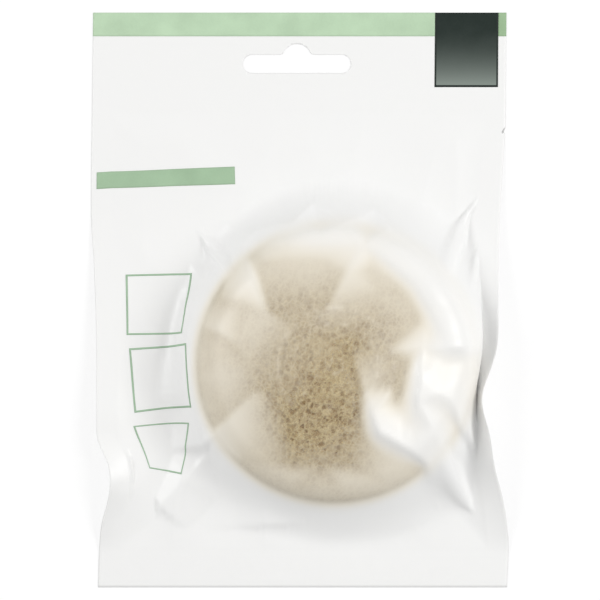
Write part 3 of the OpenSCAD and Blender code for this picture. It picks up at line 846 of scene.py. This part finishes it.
def cubic_weights(t):
    """Weights of four neighbours for a smooth curve through them, at the share t between the middle two."""
    return np.stack([-0.5 * t + t ** 2 - 0.5 * t ** 3, 1 - 2.5 * t ** 2 + 1.5 * t ** 3,
                     0.5 * t + 2 * t ** 2 - 1.5 * t ** 3, -0.5 * t ** 2 + 0.5 * t ** 3])


def resampled(grid, a, b):
    """Read a grid of points smoothly at flat measures."""
    rows, columns = grid.shape[:2]
    u = np.clip(a / POUCH_W, 0, 1) * (columns - 1)
    v = np.clip(b / POUCH_H, 0, 1) * (rows - 1)
    i, j = np.minimum(u.astype(int), columns - 2), np.minimum(v.astype(int), rows - 2)
    wu, wv = cubic_weights(u - i), cubic_weights(v - j)
    points = np.zeros((len(a), 3))
    for m in range(4):
        row = np.clip(j + m - 1, 0, rows - 1)
        for k in range(4):
            column = np.clip(i + k - 1, 0, columns - 1)
            points += (wv[m] * wu[k])[:, None] * grid[row, column]
    return points


def front_points(a, b):
    """Where the points of the front web lie at rest, with the ribs of the bottom weld."""
    film = bpy.context.scene.film
    points = resampled(settled_front(), a, b)
    crimp = np.abs((a / film.rib_pitch) % 1 - 0.5) * 2 * film.rib_height
    margin = 1 * MM
    crimped = (b > margin) & (b < BOTTOM_B - margin) & (a > margin) & (a < POUCH_W - margin)
    points[:, 2] += np.where(crimped, crimp, 0)
    away = from_axis(points) - SPONGE_R
    inset = np.minimum(np.minimum(a, POUCH_W - a) - film.side_weld, np.minimum(b - BOTTOM_B, HEADER_B - b))
    loose = np.clip(away / CRUMPLE_FROM_SPONGE, 0, 1) * np.clip(inset / CRUMPLE_FROM_WELD, 0, 1)
    creases = np.array([soft_crease(x, y) if share else 0 for x, y, share in zip(a, b, loose)])
    points[:, 2] += film.crumple * loose * creases
    return points


def soft_crease(a, b):
    """How high the free film stands in a soft crease, from 0 to 1. Creases run more up than across."""
    return max(0, 1 - 2 * abs(noise.noise(Vector((a, 0.6 * b, 0)) / CRUMPLE_SIZE)))


def back_points(a, b):
    """Where the points of the back web lie at rest: flat under the sponge, and up to the welds round it."""
    points = weld_sheet(a, b)
    distance = from_axis(points)
    share, weld_z = weld_beyond(a, b)
    flat_r = SPONGE_R - bpy.context.scene.sponge.rim_radius / 4
    rising = np.clip((distance - flat_r) / np.maximum(distance / share - flat_r, 1e-6), 0, 1) ** 2
    points[:, 2] = np.where(share < 1, weld_z * rising, points[:, 2])
    return points


def behind(points, inward):
    """How far the sponge lies behind each point, along its direction inward, and how squarely: 0 is a miss.

    Each step goes as far as the sponge's surface is away, which never passes it.
    """
    d_stops, z_stops, away = sponge_distance()
    steps, furthest, touching = 24, 30 * MM, 0.1 * MM
    run = np.zeros(len(points))
    square = np.ones(len(points))
    for step in range(steps):
        at = points + inward * run[:, None]
        here = np.maximum(read_grid(d_stops, z_stops, away, from_axis(at), at[:, 2])[0], 0)
        if step >= steps // 2:
            passed_by = np.clip((here - 0.15 * MM) / (0.5 * run + 0.6 * MM), 0, 1)
            square = np.minimum(square, 1 - passed_by)
        run = np.minimum(run + here * (here > touching), furthest)
    return run, square


def forget_forms():
    """Drop the forms that are kept from an earlier run, because the settings may have changed."""
    for form in (sponge_arcs, support, sponge_distance, settled_front):
        form.cache_clear()


# ---- Pieces ----

def build_sponge():
    """A half ball spun from its section, with the cord's hole in its back and open pores pressed into it."""
    sizes = bpy.context.scene.sponge
    bm = bmesh.new()
    hole_r, hole_z = sizes.cord_hole / 2, SPONGE_Z + sizes.cord_hole_depth
    section = [*sponge_profile(steps=24)[:-1], (hole_r, SPONGE_Z), (hole_r, hole_z), (0, hole_z)]
    profile = [bm.verts.new((SPONGE_X + d, SPONGE_Y, z)) for d, z in section]
    for first, second in zip(profile, profile[1:]):
        bm.edges.new((first, second))
    bmesh.ops.spin(bm, geom=bm.verts[:] + bm.edges[:], cent=(SPONGE_X, SPONGE_Y, 0), axis=(0, 0, 1),
                   angle=math.tau, steps=180, use_merge=True, use_duplicate=False)
    bmesh.ops.remove_doubles(bm, verts=bm.verts, dist=0.01 * MM)
    bmesh.ops.recalc_face_normals(bm, faces=bm.faces)
    obj = add_object("sponge", mesh_from(bm, "sponge"))
    remesh = obj.modifiers.new("even_grain", "REMESH")
    remesh.mode = "VOXEL"
    remesh.voxel_size = sizes.grain
    baked(obj)
    mesh = obj.data
    points, normals = points_of(mesh), normals_of(mesh)
    noise.seed_set(PORE_SEED)
    depth = np.array([pore_depth(Vector(p), sizes.pore_size) for p in points])
    # The pores of the flat back are shallower.
    depth[points[:, 2] < SPONGE_Z + 0.5 * MM] *= 0.6
    move_points(mesh, points - normals * (depth * sizes.pore_depth)[:, None])
    carry(mesh, "pore", depth)
    mesh.shade_smooth()
    mesh.materials.append(sponge_finish(sizes))
    return obj


def pore_depth(point, size):
    """How deep the sponge is at a point, from 0 on the wall between two pores to 1 in the middle of one."""
    push = noise.noise_vector(point / (1.8 * size)) * 0.3
    half_wall, steepness = 0.06, 3.8
    depth = 0
    for scale, share in PORE_NETS:
        (near, next_near, *_), cells = noise.voronoi(point / (size * scale) + push)
        inside = min(1, max(0, (next_near - near - half_wall) * steepness))
        openness = 0.5 + 0.5 * noise.noise(cells[0] * 5.3)
        depth = max(depth, inside * share * min(1, max(0.1, 2.0 * openness - 0.35)))
    return depth


def build_web(name, shape, columns, rows):
    """One web of film: a flat sheet drawn to its shape, given its thickness, slotted and notched."""
    film = bpy.context.scene.film
    mesh = flat_grid(name, (0, 0), (POUCH_W, POUCH_H), columns, rows)
    flat = points_of(mesh)
    notch_b = HEADER_B - film.notch_drop
    bite = film.notch_depth * np.maximum(0, 1 - np.abs(flat[:, 1] - notch_b) / (film.notch_width / 2))
    points = shape(flat[:, 0], flat[:, 1])
    points[:, 0] -= np.where(flat[:, 0] > POUCH_W - 0.1 * MM, bite, 0)
    move_points(mesh, points)
    obj = add_object(name, mesh)
    wall = obj.modifiers.new("web", "SOLIDIFY")
    # A hair less than its thickness, so that the two webs don't lie face in face at the welds.
    wall.thickness = film.thickness * 0.94
    wall.offset = 1
    cutter = add_object("slot_cutter", slot_cutter())
    cut = obj.modifiers.new("slot", "BOOLEAN")
    cut.operation = "DIFFERENCE"
    cut.solver = "EXACT"
    cut.object = cutter
    baked(obj)
    bpy.data.objects.remove(cutter)
    for face in obj.data.polygons:
        face.use_smooth = True
    return obj


def slot_cutter():
    """A prism in the shape of the hang slot."""
    film = bpy.context.scene.film
    end_r, crown_r = film.slot_height / 2, film.crown_width / 2
    half = film.slot_length / 2 - end_r
    crown_y = end_r + film.crown_rise - crown_r
    fillet_y = end_r + film.crown_fillet
    fillet_x = math.sqrt((crown_r + film.crown_fillet) ** 2 - (fillet_y - crown_y) ** 2)
    lean = math.atan2(fillet_x, fillet_y - crown_y)
    right = [
        *arc(0, crown_y, crown_r, 0, lean, 12),
        *arc(fillet_x, fillet_y, film.crown_fillet, lean + math.pi, math.pi, 8)[1:],
        *arc(half, 0, end_r, 0, math.pi, 16),
    ]
    outline = right + [(-x, y) for x, y in reversed(right[1:])]
    bm = bmesh.new()
    middle = Vector((-film.slot_left, CAD_HIGH.y - film.slot_drop, -1 * MM))
    face = bm.faces.new([bm.verts.new(middle + Vector((x, y, 0))) for x, y in outline])
    grown = bmesh.ops.extrude_face_region(bm, geom=[face])["geom"]
    top = [part for part in grown if isinstance(part, bmesh.types.BMVert)]
    bmesh.ops.translate(bm, verts=top, vec=(0, 0, 3 * MM))
    bmesh.ops.recalc_face_normals(bm, faces=bm.faces)
    return mesh_from(bm, "slot_cutter")


def frost(obj, side):
    """Give a web the veil that its gap asks for, and the share of the sponge's colour painted on it as
    painted see-through light. The side is 1 above the sponge and -1 below.
    """
    film = bpy.context.scene.film
    normals = normals_of(obj.data)
    outer = normals[:, 2] * side > 0
    points, inward = points_of(obj.data), np.where(outer[:, None], -normals, normals)
    gap, square = behind(points, inward)
    on_sponge = points + inward * gap[:, None]
    off = np.maximum(gap - film.clearance - np.where(outer, film.thickness, 0), 0)
    # Steep film shows less of the sponge and is painted paler: painted light against the shade that falls on
    # steep film.
    off += film.steep_paling * (1 - np.abs(normals[:, 2])) ** 2
    point_pitch = 0.6 * MM
    passes = round((film.haze / point_pitch) ** 2 * 2)
    clear = spread_out(obj.data, square * np.exp(-off / film.veil_depth), passes)
    # The outer face of a web hides all that the web hides, and its inner face nothing.
    carry(obj.data, "veil", np.where(outer, mix(film.clear_veil, film.full_veil, 1 - clear), 0))
    # The share of the sponge's colour painted on the film as painted see-through light.
    tint = spread_out(obj.data, square * np.exp(-off / film.see_through_depth), passes)
    carry(obj.data, "tint", tint)
    size = bpy.context.scene.sponge.pore_size
    noise.seed_set(PORE_SEED)
    # The pores behind, painted on the film as painted shade.
    carry(obj.data, "pore",
          [pore_depth(Vector(p), size) if share > 0.5 else 0 for p, share in zip(on_sponge, tint)])


def spread_out(mesh, values, passes):
    """Blend a number at each point with its neighbours' numbers, over and over."""
    ends = np.empty(len(mesh.edges) * 2, dtype=np.int32)
    mesh.edges.foreach_get("vertices", ends)
    first, second = ends.reshape(-1, 2).T
    count = len(mesh.vertices)
    links = np.bincount(first, minlength=count) + np.bincount(second, minlength=count)
    for _ in range(passes):
        total = (np.bincount(first, weights=values[second], minlength=count)
                 + np.bincount(second, weights=values[first], minlength=count))
        values = (values + total / np.maximum(links, 1)) / 2
    return values


# ---- Operators ----

# The table reaches this far from the middle, this far below the pouch.
TABLE_HALF, TABLE_GAP = 2.5, 0.05 * MM
# The two large lamps: their places, and their shares of the key power.
LAMPS = {"left_key": ((-1.02, 0.32, 0.85), 1.0), "right_key": ((1.04, 0.12, 0.85), 1.24)}
LAMP_SIZE = 0.6


class KONJAC_OT_stage(bpy.types.Operator):
    """Lay the white table and set the lamps and the camera"""
    bl_idname = "konjac.stage"
    bl_label = "Stage"

    def execute(self, context):
        stage = context.scene.stage
        bm = bmesh.new()
        bmesh.ops.create_grid(bm, x_segments=2, y_segments=2, size=TABLE_HALF)
        bmesh.ops.translate(bm, verts=bm.verts, vec=(0, 0, CAD_LOW.z - TABLE_GAP))
        table = add_object("table", mesh_from(bm, "table"), table_finish(stage))
        world = bpy.data.worlds.new("studio")
        world.use_nodes = True
        background = world.node_tree.nodes["Background"]
        background.inputs["Color"].default_value = (1, 1, 1, 1)
        background.inputs["Strength"].default_value = stage.fill_strength
        context.scene.world = world
        for name, (place, share) in LAMPS.items():
            lamp(name, place, LAMP_SIZE, stage.key_power * share)
        camera = bpy.data.cameras.new("camera")
        camera.lens = stage.lens
        camera.clip_start = 0.01
        above = stage.view_width * stage.lens / camera.sensor_width
        holder = bpy.data.objects.new("camera", camera)
        holder.location = (0, 0, above)
        context.collection.objects.link(holder)
        context.scene.camera = holder
        context.scene.view_settings.view_transform = "Standard"
        return {"FINISHED"}


def lamp(name, place, size, power):
    """A square lamp that faces the sponge."""
    light = bpy.data.lights.new(name, "AREA")
    light.size = size
    light.energy = power
    holder = bpy.data.objects.new(name, light)
    holder.location = place
    away = Vector(place) - Vector((SPONGE_X, SPONGE_Y, SPONGE_Z))
    holder.rotation_euler = away.to_track_quat("Z", "Y").to_euler()
    bpy.context.collection.objects.link(holder)


class KONJAC_OT_sponge(bpy.types.Operator):
    """Build the pored half-ball sponge"""
    bl_idname = "konjac.sponge"
    bl_label = "Sponge"

    def execute(self, context):
        forget_forms()
        obj = build_sponge()
        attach(obj, "root")
        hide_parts("konjac_sponge")
        return {"FINISHED"}


class KONJAC_OT_back_web(bpy.types.Operator):
    """Build the back web of film, under the sponge"""
    bl_idname = "konjac.back_web"
    bl_label = "Back Web"

    def execute(self, context):
        forget_forms()
        film = context.scene.film
        obj = build_web("back_web", back_points, columns=80, rows=110)
        frost(obj, -1)
        obj.data.materials.append(film_finish("back_film", film))
        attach(obj, "root")
        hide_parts("back_film")
        return {"FINISHED"}


class KONJAC_OT_front_web(bpy.types.Operator):
    """Build the front web of film, drawn over the sponge"""
    bl_idname = "konjac.front_web"
    bl_label = "Front Web"

    def execute(self, context):
        forget_forms()
        film = context.scene.film
        # Two columns to each rib, so that the ribs come out sharp.
        columns = round(POUCH_W / (film.rib_pitch / 2))
        obj = build_web("front_web", front_points, columns, film.rows)
        frost(obj, 1)
        obj.data.materials.append(film_finish("front_film", film))
        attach(obj, "root")
        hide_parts("front_film", "header_weld", "bottom_weld", "left_weld", "right_weld")
        return {"FINISHED"}


class KONJAC_OT_print(bpy.types.Operator):
    """Lay the ink on the front web"""
    bl_idname = "konjac.print"
    bl_label = "Print"

    def execute(self, context):
        ink = context.scene.ink
        right = POUCH_W - ink.patch_inset
        left = right - ink.patch_width
        band_foot, patch_foot = POUCH_H - ink.band_height, POUCH_H - ink.patch_height
        strip_left, strip_top = ink.strip_inset, HEADER_B - ink.strip_drop
        strip_low = (strip_left, strip_top - ink.strip_height)
        strip_high = (strip_left + ink.strip_length, strip_top)
        rise = ink.strip_length / 2 * math.tan(ink.strip_lean) / MM
        lean = ((0, -rise), (0, rise)) * 2
        pieces = [
            ("header_band", "green_ink", printed("top_band_left", (0, band_foot), (left, POUCH_H),
                                                 ink_finish("band_ink", ink.green))),
            ("header_band", "green_ink", printed("top_band_right", (right, band_foot), (POUCH_W, POUCH_H),
                                                 ink_finish("band_end_ink", ink.end_green))),
            ("corner_patch", "dark_ink", printed("corner_patch_ink", (left, patch_foot), (right, POUCH_H),
                                                 ink_finish("dark_ink", ink.dark, ink.dark_low))),
            ("green_strip", "green_ink", printed("green_strip_ink", strip_low, strip_high,
                                                 ink_finish("strip_ink", ink.strip_green), pull=lean)),
        ]
        line = ink_finish("line_ink", ink.line_green)
        for k, pull in enumerate(PULLS):
            low = (ink.square_inset, BOTTOM_B + ink.square_rise + k * ink.square_pitch)
            high = (low[0] + ink.square_side, low[1] + ink.square_side)
            square = printed(f"outlined_square_{k + 1}", low, high, line, ink.square_line, pull)
            pieces.append(("outlined_squares", "green_ink", square))
        for node, slot, obj in pieces:
            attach(obj, "root")
            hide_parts(node)
        return {"FINISHED"}


def printed(name, low, high, material, outline=0.0, pull=None):
    """A layer of ink over a rectangle of the flat film, or over its outline only.

    The pull moves its four corners askew, in millimetres.
    """
    step, lift = 0.5 * MM, bpy.context.scene.film.thickness + 0.03 * MM
    columns = max(2, round((high[0] - low[0]) / step))
    rows = max(2, round((high[1] - low[1]) / step))
    mesh = flat_grid(name, low, high, columns, rows)
    if outline:
        bm = bmesh.new()
        bm.from_mesh(mesh)
        inner = [face for face in bm.faces
                 if low[0] + outline < face.calc_center_median().x < high[0] - outline
                 and low[1] + outline < face.calc_center_median().y < high[1] - outline]
        bmesh.ops.delete(bm, geom=inner, context="FACES")
        bm.to_mesh(mesh)
        bm.free()
    flat = points_of(mesh)
    if pull:
        share = (flat[:, :2] - low) / np.subtract(high, low)
        lower_left, lower_right, upper_left, upper_right = np.array(pull) * MM
        lower = mix(lower_left, lower_right, share[:, :1])
        upper = mix(upper_left, upper_right, share[:, :1])
        flat[:, :2] += mix(lower, upper, share[:, 1:])
    points = front_points(flat[:, 0], flat[:, 1])
    move_points(mesh, points)
    move_points(mesh, points + normals_of(mesh) * lift)
    obj = add_object(name, mesh, material)
    coat = obj.modifiers.new("coat", "SOLIDIFY")
    coat.thickness = bpy.context.scene.ink.thickness
    coat.offset = 1
    mesh.shade_smooth()
    return obj


class KONJAC_PT_pouch(bpy.types.Panel):
    """Buttons for the stage and each piece, and the sizes and colours that they read"""
    bl_idname = "KONJAC_PT_pouch"
    bl_label = "Konjac Sponge"
    bl_space_type = "VIEW_3D"
    bl_region_type = "UI"
    bl_category = "Pouch"

    def draw(self, context):
        for operator in STEPS:
            self.layout.operator(operator.bl_idname)
        for name, group in SETTINGS.items():
            box = self.layout.box()
            box.label(text=group.__doc__)
            for size in group.__annotations__:
                box.prop(getattr(context.scene, name), size)


STEPS = (KONJAC_OT_stage, KONJAC_OT_sponge, KONJAC_OT_back_web, KONJAC_OT_front_web, KONJAC_OT_print)
SETTINGS = {"sponge": SpongeSettings, "film": FilmSettings, "ink": PrintSettings, "stage": StageSettings}


def register():
    """Add the classes and the settings to Blender."""
    for item in (*SETTINGS.values(), *STEPS, KONJAC_PT_pouch):
        bpy.utils.register_class(item)
    for name, group in SETTINGS.items():
        setattr(bpy.types.Scene, name, PointerProperty(type=group))


def unregister():
    """Take the settings and the classes out of Blender."""
    for name in SETTINGS:
        delattr(bpy.types.Scene, name)
    for item in reversed((*SETTINGS.values(), *STEPS, KONJAC_PT_pouch)):
        bpy.utils.unregister_class(item)


def main():
    """Build every piece in order."""
    register()
    bpy.ops.konjac.stage()
    bpy.ops.konjac.sponge()
    bpy.ops.konjac.back_web()
    bpy.ops.konjac.front_web()
    bpy.ops.konjac.print()


if __name__ == "__main__":
    main()
